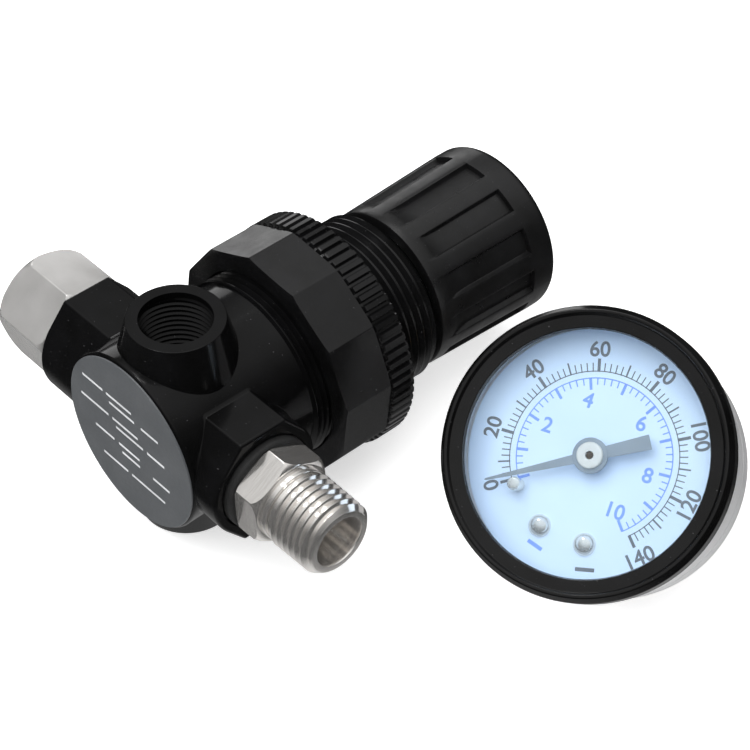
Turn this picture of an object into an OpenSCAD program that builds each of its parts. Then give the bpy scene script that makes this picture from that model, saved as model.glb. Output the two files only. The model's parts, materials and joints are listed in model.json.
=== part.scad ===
// Miniature in-line air pressure regulator with its loose dial gauge.
// Millimetres. Origin at the centre of the flat end face, on the knob's axis.
// +Y runs from the end face to the knob, X is the air line, +Z leaves the gauge port.

/* [Body] */
// Radius of the body's round barrel
barrel_r = 15.6; // [15.4:0.1:16]
// Where the barrel ends and its outside thread begins
barrel_end_y = 24.8; // [24:0.1:25.5]
// Distance from the end face to the crossing of the port axes
port_y = 10.5; // [10:0.1:11]
// Height of each gauge port face above or below the knob's axis
port_face_z = 20; // [19.5:0.1:20.3]
// Radius of each gauge port's boss at its face
port_boss_r = 7.85; // [7.6:0.05:8.2]
// Radius of the boss where it meets the barrel
port_boss_base_r = 10.15; // [9.5:0.05:10.15]
// Wall radius of the tapped 1/4 inch ports
port_bore_r = 5.85; // [5.7:0.05:5.9]
// Depth of the tapped ports
port_depth = 11; // [10:0.5:11]
// How far the inlet arm reaches from the knob's axis
inlet_arm = 24; // [23:0.5:24]
// How far the outlet arm reaches from the knob's axis
outlet_arm = 20.4; // [20.2:0.1:20.6]
// Radius of the round part of both arms
arm_r = 10; // [9.5:0.1:10.1]

/* [Fittings] */
// Major radius of the 1/4 inch pipe threads
pipe_thread_r = 6.58; // [6.5:0.01:6.6]
// Where the outlet nipple's hexagon begins, against its seal
nipple_hex_x = 21.6; // [21:0.1:22]
// Where the outlet nipple ends
nipple_end_x = 37.6; // [37:0.1:39]
// Hexagon of the outlet nipple, across flats
nipple_af = 14; // [13:0.5:14]
// Where the inlet swivel nut ends
swivel_end_x = -37.2; // [-39:0.1:-37]
// Hexagon of the inlet swivel nut, across flats
swivel_af = 17; // [16:0.5:18]

/* [Bonnet and knob] */
// Front face of the twelve-sided collar
collar_y = 27.6; // [27.4:0.1:28]
// Back face of the collar, where a panel seats
panel_seat_y = 37; // [37:0.1:37.2]
// Collar size across its flats
collar_af = 39.4; // [39:0.1:40]
// Radius of the M30 panel thread
panel_thread_r = 15; // [15:0.01:15]
// End of the panel thread
panel_thread_end_y = 52.3; // [52:0.1:52.6]
// Outer radius of the knurled panel nut
panel_nut_r = 20.3; // [20.3:0.1:21]
// Thickness of the panel nut
panel_nut_t = 5.25; // [5:0.05:5.5]
// Knob radius beside the bonnet
knob_base_r = 14.35; // [14.2:0.05:14.6]
// Knob radius at the band near its end
knob_band_r = 15.2; // [14.8:0.05:15.2]
// Where the knob begins
knob_y = 53.9; // [53.5:0.1:54.2]
// Where the knob ends
knob_end_y = 79.6; // [79.6:0.1:80.5]
// Number of finger flutes round the knob
flutes = 12; // [8:1:14]

/* [Gauge] */
// Outer radius of the gauge's bezel
bezel_r = 22.5; // [22.2:0.1:23]
// Radius of the gauge's case
case_r = 21.2; // [21:0.1:21.3]
// Depth of the case behind the front of the bezel
case_depth = 23.9; // [22:0.1:24]
// Where the loose gauge lies, from the origin along X
gauge_x = 56.1; // [55.5:0.1:80]
// Where the loose gauge lies, from the origin along Y
gauge_y = 42.9; // [30:0.1:50]
// Compass direction that the dial faces, from +X towards +Y
gauge_turn = -68.1; // [-90:0.1:-40]

/* [Hidden] */
$fn = 96;

overcut = 1;            // how far a cutter runs past the face that it opens
label_t = 0.3;
label_r = 15.2;
port_floor_z = port_face_z - port_depth;
port_boss_base_z = 11.5;

// Wrench flats above and below each arm
arm_flat_z = 10.3;
arm_flat_half_w = 4.4;

// Valve and diaphragm, along the knob's axis
chamber_y = 3.5;
chamber_r = 5.5;
seat_y = 22;
seat_r = 6.45;
orifice_r = 2.2;
plenum_y = 29;
plenum_r = 12.5;
body_thread_r = 16.2;
body_end_y = 35.5;
diaphragm_t = 1;
clamp_y = body_end_y + diaphragm_t;
poppet_y = 15;
poppet_head_r = 5.2;
poppet_seal_y = 19.4;
stem_r = 1.2;
stem_end_y = 34.1;
plate_y = clamp_y;
plate_t = 1.5;
plate_hub_end_y = 34.2;

// Range spring and its screw
spring_y = plate_y + plate_t;
spring_nut_y = 58;
spring_nut_t = 4;
spring_nut_r = 9.1;
screw_r = 3;
journal_r = 4;
running_gap = 0.05;
tube_r = 11.4;
tube_bore_r = 9.4;
tube_end_y = 68;
tube_wall_t = 2;
key_w = 3;
key_h = 0.7;
screw_hex_af = 10;

// Screwed parts stop part-way round when they are tight
collar_turn = -9.1;
nipple_turn = 2.7;
nut_gap = 0.05;
panel_nut_end_y = panel_seat_y + nut_gap + panel_nut_t;
knurls = 72;
knurl_depth = 0.6;

flute_w = 4.2;
flute_depth = 0.9;
flute_y = 56;
flute_end_y = 74.3;
knob_bore_r = 12;
knob_cap_r = 5.45;

// The swivel nut is held on by a flange on the inlet stem
swivel_turn = -16.1;
stem_neck_r = 4.7;
stem_flange_x = 25.9;
swivel_seal_x = 27.7;
swivel_thread_x = 28.9;

// The gauge lies on its back, resting on the case's edge and on the end of its stem
gauge_lean = 47.6;
edge_bevel = 0.8;
table_z = -panel_nut_r;
gauge_z = table_z + case_depth * sin(gauge_lean) + (case_r - edge_bevel) * cos(gauge_lean);
gauge_end = case_depth + (case_r - pipe_thread_r) / tan(gauge_lean);
window_r = 18.8;
bezel_back_z = -4.6;
lens_z = -1.3;
lens_t = 1.5;
gasket_t = 0.6;
dial_z = -7.5;
dial_r = 19.8;
zero_angle = 301;       // from the dial's downward direction
pointer_z = -5;
pointer_t = 0.35;
arbor_r = 0.5;
tube_path_r = 14;
tube_z = -15.4;
tube_foot_angle = -60;
tube_tip_angle = 40;
upper_plate_z = -9.6;
hairspring_z = -9.95;
hairspring_r = 2.4;

// Pointer drive: gear module and tooth numbers
gear_module = 0.2;
pinion_teeth = 12;
sector_teeth = 84;
pinion_r = gear_module * pinion_teeth / 2;
sector_r = gear_module * sector_teeth / 2;
gear_distance = pinion_r + sector_r;
gear_z = -11.6;
gear_t = 0.8;
tail_len = 4;
sector_pivot_r = 0.6;
dial_t = 0.4;
dial_screw_angles = [-19.8, 12.9];
dial_screw_path_r = 13.4;

function across_flats_r(af, sides = 6) = af / 2 / cos(180 / sides);

// Centre-line rise of a coil spring that has one closed turn at each end
function coil_rise(t, turns, wire_r, length) =
    let (travel = length - 2 * wire_r, closed = 2.1 * wire_r)
    t < 1 ? t * closed
    : t < turns - 1 ? closed + (t - 1) * (travel - 2 * closed) / (turns - 2)
    : travel - (turns - t) * closed;

module along_y(y) translate([0, y, 0]) rotate([-90, 0, 0]) children();
module along_x(x) translate([x, port_y, 0]) rotate([0, 90, 0]) children();
module towards_inlet(x) translate([x, port_y, 0]) rotate([0, -90, 0]) children();
module gauge_frame() translate([gauge_x, gauge_y, gauge_z])
    rotate([0, 0, gauge_turn]) rotate([0, 90 - gauge_lean, 0]) children();

module rod(r, from, to) translate([0, 0, from]) cylinder(r = r, h = to - from);
module ring(outer_r, inner_r, from, to) difference() {
    rod(outer_r, from, to);
    rod(inner_r, from - overcut, to + overcut);
}
module hex(af, from, to) translate([0, 0, from])
    cylinder(r = across_flats_r(af), h = to - from, $fn = 6);

module coil(mean_r, wire_r, turns, length) {
    sides = 8;
    steps_per_turn = 18;
    steps = turns * steps_per_turn;
    points = [for (i = [0 : steps], j = [0 : sides - 1])
        let (t = i / steps_per_turn, a = 360 * t, b = 360 * j / sides, r = mean_r + wire_r * cos(b))
        [r * cos(a), r * sin(a), wire_r * (1 + sin(b)) + coil_rise(t, turns, wire_r, length)]];
    skin = [for (i = [0 : steps - 1], j = [0 : sides - 1])
        let (k = (j + 1) % sides)
        [i * sides + j, i * sides + k, (i + 1) * sides + k, (i + 1) * sides + j]];
    start_cap = [for (j = [sides - 1 : -1 : 0]) j];
    end_cap = [for (j = [0 : sides - 1]) steps * sides + j];
    polyhedron(points, concat([start_cap], skin, [end_cap]));
}

// ---- Body and what is fixed to it ----

// Outline of an arm: round, with a flat for the wrench above and below
module arm_outline() {
    corner = norm([arm_flat_z, arm_flat_half_w]);
    touch = atan2(arm_flat_half_w, arm_flat_z) + acos(arm_r / corner);
    inset_r = 0.965 * arm_r;
    circle(r = arm_r);
    for (turn = [0, 180]) rotate(turn) polygon([
        [arm_flat_z, -arm_flat_half_w], [arm_flat_z, arm_flat_half_w],
        [inset_r * cos(touch), inset_r * sin(touch)], [inset_r * cos(touch), -inset_r * sin(touch)]]);
}

module body_passages() {
    side_channel_r = 1.8;
    side_channel_x = 11.5;
    gauge_channel_r = 1;
    gauge_channel_z = port_floor_z + 1.5;
    recess_r = 8.5;
    recess_depth = 1;
    along_y(0) {
        rod(chamber_r, chamber_y, seat_y);
        rod(seat_r + running_gap, seat_y, plenum_y + overcut);
        rod(plenum_r, plenum_y, body_end_y + overcut);
    }
    // Inlet to the valve chamber
    towards_inlet(0) {
        rod(port_bore_r, inlet_arm - port_depth, inlet_arm + overcut);
        rod(3, chamber_r - overcut, inlet_arm);
    }
    // Outlet, its recess, and the channel that feeds it from the plenum
    along_x(0) {
        rod(port_bore_r, outlet_arm - port_depth, outlet_arm);
        rod(recess_r, outlet_arm - recess_depth, outlet_arm + overcut);
    }
    translate([side_channel_x, port_y, 0]) rotate([-90, 0, 0])
        cylinder(r = side_channel_r, h = plenum_y + overcut - port_y);
    // Gauge ports, each fed by its own small channel
    for (side = [0, 180]) translate([0, port_y, 0]) rotate([side, 0, 0])
        rod(port_bore_r, port_floor_z, port_face_z + overcut);
    for (side = [-1, 1]) translate([0, port_y, side * gauge_channel_z]) rotate([-90, 0, 0])
        cylinder(r = gauge_channel_r, h = plenum_y + overcut - port_y);
}

module body() color([0.05, 0.05, 0.06]) difference() {
    union() {
        along_y(0) rod(barrel_r, label_t, barrel_end_y);
        along_y(0) rod(body_thread_r, barrel_end_y, body_end_y);
        along_x(-inlet_arm) linear_extrude(inlet_arm + outlet_arm) arm_outline();
        for (side = [0, 180]) translate([0, port_y, 0]) rotate([side, 0, 0])
            translate([0, 0, port_boss_base_z])
                cylinder(r1 = port_boss_base_r, r2 = port_boss_r, h = port_face_z - port_boss_base_z);
    }
    body_passages();
}

module label_plate() color([0.32, 0.33, 0.34]) along_y(0) rod(label_r, 0, label_t);

module valve_seat() color([0.78, 0.62, 0.3]) along_y(0) difference() {
    union() {
        rod(seat_r, seat_y, plenum_y - 0.5);
        rod(orifice_r + 0.8, seat_y - 0.6, seat_y + overcut);
    }
    rod(orifice_r, seat_y - overcut, plenum_y + overcut);
    ring(seat_r + overcut, seat_r - 1.35, 24.3, 25.7);
}

module seat_o_ring() color([0.1, 0.1, 0.1]) along_y(25)
    rotate_extrude() translate([seat_r - 0.65, 0]) circle(r = 0.65);

module diaphragm() color([0.15, 0.15, 0.15]) along_y(0) ring(15.8, 2, body_end_y, clamp_y);

// ---- Valve, which the diaphragm pushes open ----

module valve_spring() color([0.75, 0.75, 0.75]) along_y(chamber_y + 0.02)
    coil(3.2, 0.4, 7, poppet_y - chamber_y - 0.04);

module valve_poppet() color([0.78, 0.62, 0.3]) along_y(0) {
    rod(2.2, poppet_y - 3, poppet_y + overcut);
    hex(2 * poppet_head_r * cos(30), poppet_y, poppet_seal_y);
    rod(stem_r, poppet_seal_y - overcut, stem_end_y);
}

module poppet_seal() color([0.1, 0.1, 0.1]) along_y(0)
    ring(4.2, stem_r + 0.02, poppet_seal_y, seat_y - 0.6);

module diaphragm_plate() color("silver") along_y(0) difference() {
    union() {
        rod(9, plate_y, plate_y + plate_t);
        rod(5.8, plate_y, plate_y + plate_t + 1.6);
        rod(1.9, plate_hub_end_y, plate_y + overcut);
    }
    rod(0.6, plate_hub_end_y - overcut, plate_y + plate_t + 2 * overcut);
}

// ---- Range spring, bonnet and knob ----

module main_spring() color([0.7, 0.7, 0.72]) along_y(spring_y + 0.02)
    coil(7.2, 0.9, 7, spring_nut_y - spring_y - 0.04);

module spring_nut() color([0.78, 0.62, 0.3]) along_y(0) difference() {
    rod(spring_nut_r, spring_nut_y, spring_nut_y + spring_nut_t);
    rod(screw_r + 0.08, spring_nut_y - overcut, spring_nut_y + spring_nut_t + overcut);
    for (turn = [0, 180]) rotate([0, 0, turn])
        translate([tube_bore_r - key_h - 0.3, -key_w / 2 - 0.3, spring_nut_y - overcut])
            cube([2, key_w + 0.6, spring_nut_t + 2 * overcut]);
}

module adjusting_screw() color([0.7, 0.7, 0.7]) along_y(0) difference() {
    union() {
        rod(screw_r, 45, 64);
        rod(6.5, 63.6, tube_end_y - tube_wall_t - 0.3);
        rod(journal_r, 65, 68.6);
        hex(screw_hex_af, 68.6, 75.5);
    }
    rod(1.9, 69.5, 75.5 + overcut);
}

module bonnet() color([0.06, 0.06, 0.07]) along_y(0) {
    difference() {
        union() {
            rotate([0, 0, collar_turn]) translate([0, 0, collar_y])
                cylinder(r = across_flats_r(collar_af, 12), h = panel_seat_y - collar_y, $fn = 12);
            // The thread is relieved where the panel nut rests
            rod(panel_thread_r - 0.16, panel_seat_y - overcut, panel_nut_end_y + 0.3);
            rod(panel_thread_r, panel_nut_end_y + 0.3, panel_thread_end_y);
            rod(tube_r, panel_thread_end_y - overcut, tube_end_y);
        }
        rod(body_thread_r + running_gap, collar_y - overcut, clamp_y);
        rod(12.2, clamp_y - overcut, 50);
        rod(tube_bore_r, 49, tube_end_y - tube_wall_t);
        rod(journal_r + running_gap, tube_end_y - tube_wall_t - overcut, tube_end_y + overcut);
    }
    // Two keys stop the spring nut from turning
    for (turn = [0, 180]) rotate([0, 0, turn])
        translate([tube_bore_r - key_h, -key_w / 2, 50]) cube([key_h + 0.5, key_w, 16]);
}

module knurled_outline() difference() {
    circle(r = panel_nut_r);
    for (i = [0 : knurls - 1]) rotate(i * 360 / knurls)
        translate([panel_nut_r - knurl_depth, -0.35]) square([2, 0.7]);
}

module panel_nut() color([0.06, 0.06, 0.07]) along_y(panel_seat_y + nut_gap) difference() {
    linear_extrude(panel_nut_t) knurled_outline();
    rod(panel_thread_r + running_gap, -overcut, panel_nut_t + overcut);
}

module knob_shell() rotate_extrude() polygon([
    [knob_bore_r, knob_y], [knob_base_r, knob_y], [knob_band_r, 76], [knob_band_r, knob_end_y - 1.5],
    [knob_band_r - 0.45, knob_end_y - 0.45], [knob_band_r - 1.5, knob_end_y], [0, knob_end_y],
    [0, 74.5], [knob_bore_r, 74.5]]);

module knob() color([0.07, 0.07, 0.08]) along_y(0) difference() {
    union() {
        knob_shell();
        rod(8.5, 68.9, 75);
    }
    hex(screw_hex_af + 0.1, 68, 75.7);
    rod(2.05, 75, knob_end_y + overcut);
    rod(knob_cap_r + running_gap, 77.2, knob_end_y + overcut);
    for (i = [0 : flutes - 1]) rotate([0, 0, i * 360 / flutes]) translate([0, -flute_w / 2, 0])
        translate([knob_base_r - flute_depth + 0.2, 0, flute_y]) cube([4, flute_w, flute_end_y - flute_y]);
}

module knob_screw() color([0.75, 0.75, 0.75]) along_y(0) difference() {
    union() {
        rod(1.85, 70, 78);
        rod(3.6, 77.2, 78.7);
    }
    hex(2.5, 77.8, 80);
}

module knob_cap() color([0.07, 0.07, 0.08]) along_y(0) rod(knob_cap_r, 78.8, knob_end_y);

// ---- Fittings on the air line ----

module outlet_nipple() color([0.8, 0.8, 0.82]) along_x(0) difference() {
    union() {
        rod(port_bore_r - running_gap, outlet_arm - port_depth + 0.5, nipple_hex_x + 0.3);
        rotate([0, 0, nipple_turn]) hex(nipple_af, nipple_hex_x, nipple_hex_x + 5);
        rod(6.1, nipple_hex_x + 4.7, 28);
        rod(pipe_thread_r, 27.8, nipple_end_x - edge_bevel);
        translate([0, 0, nipple_end_x - edge_bevel])
            cylinder(r1 = pipe_thread_r, r2 = pipe_thread_r - edge_bevel, h = edge_bevel);
    }
    rod(4.27, 29, nipple_end_x + overcut);
    rod(3, 8, 30);
}

module nipple_seal() color([0.1, 0.1, 0.1]) along_x(0)
    ring(8.2, port_bore_r, outlet_arm - 1, nipple_hex_x);

module inlet_stem() color([0.75, 0.75, 0.77]) towards_inlet(0) difference() {
    union() {
        rod(port_bore_r - running_gap, inlet_arm - port_depth + 0.5, inlet_arm);
        rod(stem_neck_r, inlet_arm - overcut, stem_flange_x);
        rod(5.6, stem_flange_x, swivel_seal_x);
    }
    rod(2.8, 10, swivel_seal_x + overcut);
}

module swivel_seal() color([0.1, 0.1, 0.1]) towards_inlet(0) ring(5.5, 2.8, swivel_seal_x, swivel_seal_x + 1);

module swivel_nut() color([0.8, 0.8, 0.82]) towards_inlet(0) difference() {
    intersection() {
        rotate([0, 0, swivel_turn]) hex(swivel_af, 24.5, -swivel_end_x);
        // Both ends are turned to a dome, which rounds the corners of the hexagon
        rotate_extrude() polygon([
            [0, 24.5], [8.7, 24.5], [9.4, 25.3], [10, 27], [10, 33.2], [9.5, 35.4], [8.5, -swivel_end_x],
            [0, -swivel_end_x]]);
    }
    rod(stem_neck_r + 0.08, 24, 26);
    rod(6.3, stem_flange_x - 0.3, swivel_thread_x);
    rod(port_bore_r, swivel_thread_x - 0.1, -swivel_end_x + overcut);
}

module port_plug() color([0.7, 0.7, 0.72]) translate([0, port_y, 0]) difference() {
    rod(port_bore_r - running_gap, -port_face_z + 0.3, -port_floor_z - 2);
    hex(6, -port_face_z - overcut, -port_face_z + 4.5);
}

// ---- Gauge: its own frame has the dial facing +Z, with +X down the dial ----

module gauge_bezel() color([0.05, 0.05, 0.06]) gauge_frame() rotate_extrude() polygon([
    [bezel_r, bezel_back_z], [bezel_r, -1.3], [bezel_r - 0.35, -0.4], [bezel_r - 0.9, 0], [bezel_r - 1.3, -0.1],
    [bezel_r - 1.7, -0.5], [window_r + 0.1, -0.6], [window_r, lens_z], [case_r + 0.05, lens_z],
    [case_r + 0.05, bezel_back_z]]);

module gauge_lens() color([0.85, 0.93, 1, 0.3]) gauge_frame() rod(case_r, lens_z - lens_t, lens_z);

module lens_gasket() color([0.1, 0.1, 0.1]) gauge_frame()
    ring(case_r, window_r + 0.5, lens_z - lens_t - gasket_t, lens_z - lens_t);

module gauge_case() color([0.75, 0.75, 0.76]) gauge_frame() rotate_extrude() polygon([
    [case_r, lens_z - lens_t - gasket_t], [case_r, -case_depth + edge_bevel], [case_r - edge_bevel, -case_depth],
    [7.4, -case_depth], [7.4, -case_depth + 1.2], [case_r - 1, -case_depth + 1.2],
    [case_r - 1, dial_z - 1.4], [dial_r - 1.4, dial_z - 1.4], [dial_r - 1.4, dial_z - 0.4],
    [case_r - 1, dial_z - 0.4], [case_r - 1, lens_z - lens_t - gasket_t]]);

module gauge_dial() color([0.82, 0.88, 0.95]) gauge_frame() difference() {
    rod(dial_r, dial_z - dial_t, dial_z);
    rod(1.5, dial_z - overcut, dial_z + overcut);
    for (a = dial_screw_angles) rotate([0, 0, a]) translate([dial_screw_path_r, 0, 0])
        rod(0.75, dial_z - overcut, dial_z + overcut);
}

module dial_screws() color([0.8, 0.8, 0.8]) gauge_frame()
    for (a = dial_screw_angles) rotate([0, 0, a]) translate([dial_screw_path_r, 0, 0]) {
        head_sphere_r = 2;
        intersection() {
            translate([0, 0, dial_z - 0.9]) sphere(r = head_sphere_r);
            rod(head_sphere_r, dial_z, dial_z + 1.2);
        }
        rod(0.7, dial_z - 2, dial_z + 0.1);
    }

module gauge_pointer() color([0.35, 0.36, 0.37]) gauge_frame() rotate([0, 0, zero_angle]) difference() {
    union() {
        rod(2.75, pointer_z, pointer_z + pointer_t);
        translate([0, 0, pointer_z]) linear_extrude(pointer_t)
            polygon([[16.9, 0.15], [16.9, -0.15], [0, -0.8], [-9.4, -1.15], [-9.4, 1.15], [0, 0.8]]);
    }
    rod(1.25, pointer_z - overcut, pointer_z + overcut);
}

module pointer_hub() color([0.93, 0.91, 0.85]) gauge_frame() difference() {
    union() {
        rod(2.05, pointer_z + pointer_t, pointer_z + 0.95);
        rod(1.23, pointer_z - 0.2, pointer_z + 0.5);
    }
    rod(arbor_r + 0.02, pointer_z - overcut, pointer_z + 2 * overcut);
}

module stop_pin() color([0.8, 0.8, 0.8]) gauge_frame() rotate([0, 0, zero_angle + 7.3])
    translate([12.55, 0, 0]) rod(1.05, dial_z, dial_z + 3.2);

module gauge_socket() color([0.78, 0.62, 0.3]) gauge_frame() difference() {
    union() {
        translate([-4, -4, -20.8]) cube([8, 8, 7.2]);
        rotate([0, 0, tube_foot_angle]) translate([0, -2.5, -20.8]) cube([tube_path_r + 0.8, 5, 3.08]);
        rod(7.3, -case_depth, -20.7);
        intersection() {
            translate([-7, -7, -case_depth - 4.5]) cube([14, 14, 4.5]);
            rod(9, -case_depth - 4.5, -case_depth);
        }
        rod(pipe_thread_r, -gauge_end + edge_bevel, -case_depth - 4.4);
        translate([0, 0, -gauge_end])
            cylinder(r1 = pipe_thread_r - edge_bevel, r2 = pipe_thread_r, h = edge_bevel);
    }
    rod(1.5, -gauge_end - overcut, -16);
}

// Flattened tube bent into a C, from its foot on the socket to its free tip
module bourdon_tube() color([0.75, 0.6, 0.3]) gauge_frame() {
    half_h = 1.5;
    half_w = 0.8;
    rotate([0, 0, tube_tip_angle]) rotate_extrude(angle = 360 + tube_foot_angle - tube_tip_angle)
        translate([tube_path_r, tube_z]) {
            square([2 * half_w, 2 * half_h], center = true);
            for (end = [-1, 1]) translate([0, end * half_h]) circle(r = half_w);
        }
    rotate([0, 0, tube_tip_angle]) translate([tube_path_r, 0.6, 0]) rod(0.5, tube_z, gear_z - 0.35);
    rotate([0, 0, tube_foot_angle]) translate([tube_path_r - half_w, -0.1, -17.72])
        cube([2 * half_w, 1.3, 4.62]);
}

tail_pin = [gear_distance + tail_len, 0];
tip_pin = tube_path_r * [cos(tube_tip_angle), sin(tube_tip_angle)];

// Flat link from the sector's tail to the tube's tip
module tip_link() color("silver") gauge_frame() {
    run = tip_pin - tail_pin;
    translate([tail_pin.x, tail_pin.y, gear_z]) rotate([0, 0, atan2(run.y, run.x)]) difference() {
        union() {
            rod(1, 0, 0.5);
            translate([0, -0.6, 0]) cube([norm(run), 1.2, 0.5]);
            translate([norm(run), 0, 0]) rod(1, 0, 0.5);
        }
        rod(0.55, -overcut, overcut);
    }
}

// One gear tooth on the +X side, with clearance at its flanks
module tooth(pitch_r, root_r) {
    half_pitch = PI * gear_module / 2;
    tip_r = pitch_r + 0.14;
    polygon([[root_r - 0.1, -0.46 * half_pitch], [pitch_r, -0.36 * half_pitch], [tip_r, -0.16 * half_pitch],
        [tip_r, 0.16 * half_pitch], [pitch_r, 0.36 * half_pitch], [root_r - 0.1, 0.46 * half_pitch]]);
}

module sector_gear() color([0.78, 0.62, 0.3]) gauge_frame() translate([gear_distance, 0, 0]) {
    root_r = sector_r - 0.24;
    tooth_angle = 360 / sector_teeth;
    translate([0, 0, gear_z + 0.7]) linear_extrude(gear_t) {
        for (i = [-12 : 1]) rotate(180 + (i + 0.5) * tooth_angle) tooth(sector_r, root_r);
        polygon(concat([[0, 0]], [for (i = [-24 : 5])
            let (a = 180 + i * tooth_angle / 2) [root_r * cos(a), root_r * sin(a)]]));
        circle(r = 1.6);
        translate([0, -0.9]) square([tail_len, 1.8]);
        translate([tail_len, 0]) circle(r = 1);
    }
    rod(sector_pivot_r, -13.4, -9);
    translate([tail_len, 0, 0]) rod(0.5, gear_z - 0.1, gear_z + 1);
}

module pinion_arbor() color([0.75, 0.75, 0.75]) gauge_frame() {
    root_r = pinion_r - 0.24;
    translate([0, 0, gear_z + 0.4]) linear_extrude(1.15) {
        circle(r = root_r);
        for (i = [0 : pinion_teeth - 1]) rotate(i * 360 / pinion_teeth) tooth(pinion_r, root_r);
    }
    rod(arbor_r, -13.4, pointer_z + 0.85);
}

module movement_plates() color([0.78, 0.62, 0.3]) gauge_frame() {
    plate_w = 9;
    plate_t = 0.8;
    lower_plate_z = -13.6;
    for (z = [lower_plate_z, upper_plate_z]) difference() {
        translate([-4, -plate_w / 2, z]) cube([15.5, plate_w, plate_t]);
        rod(arbor_r + running_gap, z - overcut, z + overcut);
        translate([gear_distance, 0, 0]) rod(sector_pivot_r + running_gap, z - overcut, z + overcut);
    }
    // Pillars between the plates, and the stud that holds the hairspring's outer end
    for (side = [-1, 1]) translate([-3, side * 3.4, 0]) rod(0.8, -13, -9.2);
    translate([hairspring_r + 0.3, 0, 0]) rod(0.3, hairspring_z, upper_plate_z + 0.1);
    // Arms and tapped posts that carry the dial
    difference() {
        for (a = dial_screw_angles) rotate([0, 0, a]) {
            translate([8, -1.1, upper_plate_z + 0.1]) cube([dial_screw_path_r - 8, 2.2, plate_t - 0.2]);
            translate([dial_screw_path_r, 0, 0]) rod(1.4, upper_plate_z - 0.1, dial_z - dial_t);
        }
        for (a = dial_screw_angles) rotate([0, 0, a]) translate([dial_screw_path_r, 0, 0])
            rod(0.75, upper_plate_z - overcut, dial_z);
    }
}

module hairspring() color([0.6, 0.6, 0.65]) gauge_frame()
    translate([0, 0, hairspring_z]) linear_extrude(0.2) {
    turns = 3;
    strip = 0.12;
    start_r = 0.75;
    rise = (hairspring_r - start_r) / turns / 360;
    outer = [for (a = [0 : 12 : 360 * turns]) let (r = start_r + rise * a) [r * cos(a), r * sin(a)]];
    inner = [for (a = [360 * turns : -12 : 0]) let (r = start_r - strip + rise * a) [r * cos(a), r * sin(a)]];
    polygon(concat(outer, inner));
}

body();
label_plate();
valve_spring();
valve_poppet();
poppet_seal();
valve_seat();
seat_o_ring();
diaphragm();
diaphragm_plate();
main_spring();
spring_nut();
adjusting_screw();
bonnet();
panel_nut();
knob();
knob_screw();
knob_cap();
outlet_nipple();
nipple_seal();
inlet_stem();
swivel_seal();
swivel_nut();
port_plug();
gauge_case();
gauge_bezel();
gauge_lens();
lens_gasket();
gauge_dial();
gauge_pointer();
pointer_hub();
stop_pin();
dial_screws();
gauge_socket();
bourdon_tube();
tip_link();
sector_gear();
pinion_arbor();
movement_plates();
hairspring();
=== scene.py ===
"""Looks of the air pressure regulator and of the dial gauge that lies beside it."""
import json
import math

import bmesh
import bpy
from mathutils import Matrix, Vector


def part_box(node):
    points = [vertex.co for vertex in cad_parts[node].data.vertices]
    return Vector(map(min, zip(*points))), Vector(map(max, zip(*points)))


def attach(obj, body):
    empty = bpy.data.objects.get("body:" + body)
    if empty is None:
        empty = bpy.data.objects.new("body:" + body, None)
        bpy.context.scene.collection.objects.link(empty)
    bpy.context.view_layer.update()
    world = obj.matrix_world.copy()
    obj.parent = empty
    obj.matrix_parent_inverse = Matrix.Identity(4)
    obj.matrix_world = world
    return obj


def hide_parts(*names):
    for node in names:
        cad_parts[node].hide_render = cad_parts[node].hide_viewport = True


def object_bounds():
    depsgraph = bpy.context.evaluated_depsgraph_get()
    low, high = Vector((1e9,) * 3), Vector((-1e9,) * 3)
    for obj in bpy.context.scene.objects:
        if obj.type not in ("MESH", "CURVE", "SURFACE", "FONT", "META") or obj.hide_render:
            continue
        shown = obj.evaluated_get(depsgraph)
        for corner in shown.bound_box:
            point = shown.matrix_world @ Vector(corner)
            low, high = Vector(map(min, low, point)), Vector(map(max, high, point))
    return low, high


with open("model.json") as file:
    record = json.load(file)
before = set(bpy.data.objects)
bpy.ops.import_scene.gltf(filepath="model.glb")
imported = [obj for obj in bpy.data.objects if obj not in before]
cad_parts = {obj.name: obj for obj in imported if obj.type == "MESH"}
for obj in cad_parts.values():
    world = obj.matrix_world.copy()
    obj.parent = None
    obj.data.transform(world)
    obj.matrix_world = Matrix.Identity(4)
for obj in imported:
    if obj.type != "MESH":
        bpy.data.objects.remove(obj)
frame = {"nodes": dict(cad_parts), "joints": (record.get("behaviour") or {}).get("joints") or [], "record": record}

# Lengths are in millimetres until piece() turns them into metres
MM = 0.001
FINE = 144          # steps round a turned surface
cad_box = [list(corner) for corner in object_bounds()]
record = frame["record"]
mounts = {m["name"]: m for m in record["mounts"]}
joints = {j["name"]: j for j in frame["joints"]}


def span(node, axis):
    """Where a CAD node starts and ends along X, Y or Z (0, 1 or 2)."""
    low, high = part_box(node)
    return low[axis] / MM, high[axis] / MM


def placed(origin, x, y, z):
    """The frame with that origin and those three axes."""
    matrix = Matrix((x, y, z)).transposed().to_4x4()
    matrix.translation = origin
    return matrix


PORT_Y = mounts["gauge_port"]["pos_m"][1] / MM
KNOB_AXIS = placed((0, 0, 0), (1, 0, 0), (0, 0, -1), (0, 1, 0))
TO_OUTLET = placed((0, PORT_Y, 0), (0, 0, -1), (0, 1, 0), (1, 0, 0))
TO_INLET = placed((0, PORT_Y, 0), (0, 0, 1), (0, 1, 0), (-1, 0, 0))
UPWARD = placed((0, PORT_Y, 0), (1, 0, 0), (0, 1, 0), (0, 0, 1))
DOWNWARD = placed((0, PORT_Y, 0), (1, 0, 0), (0, -1, 0), (0, 0, -1))

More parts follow.
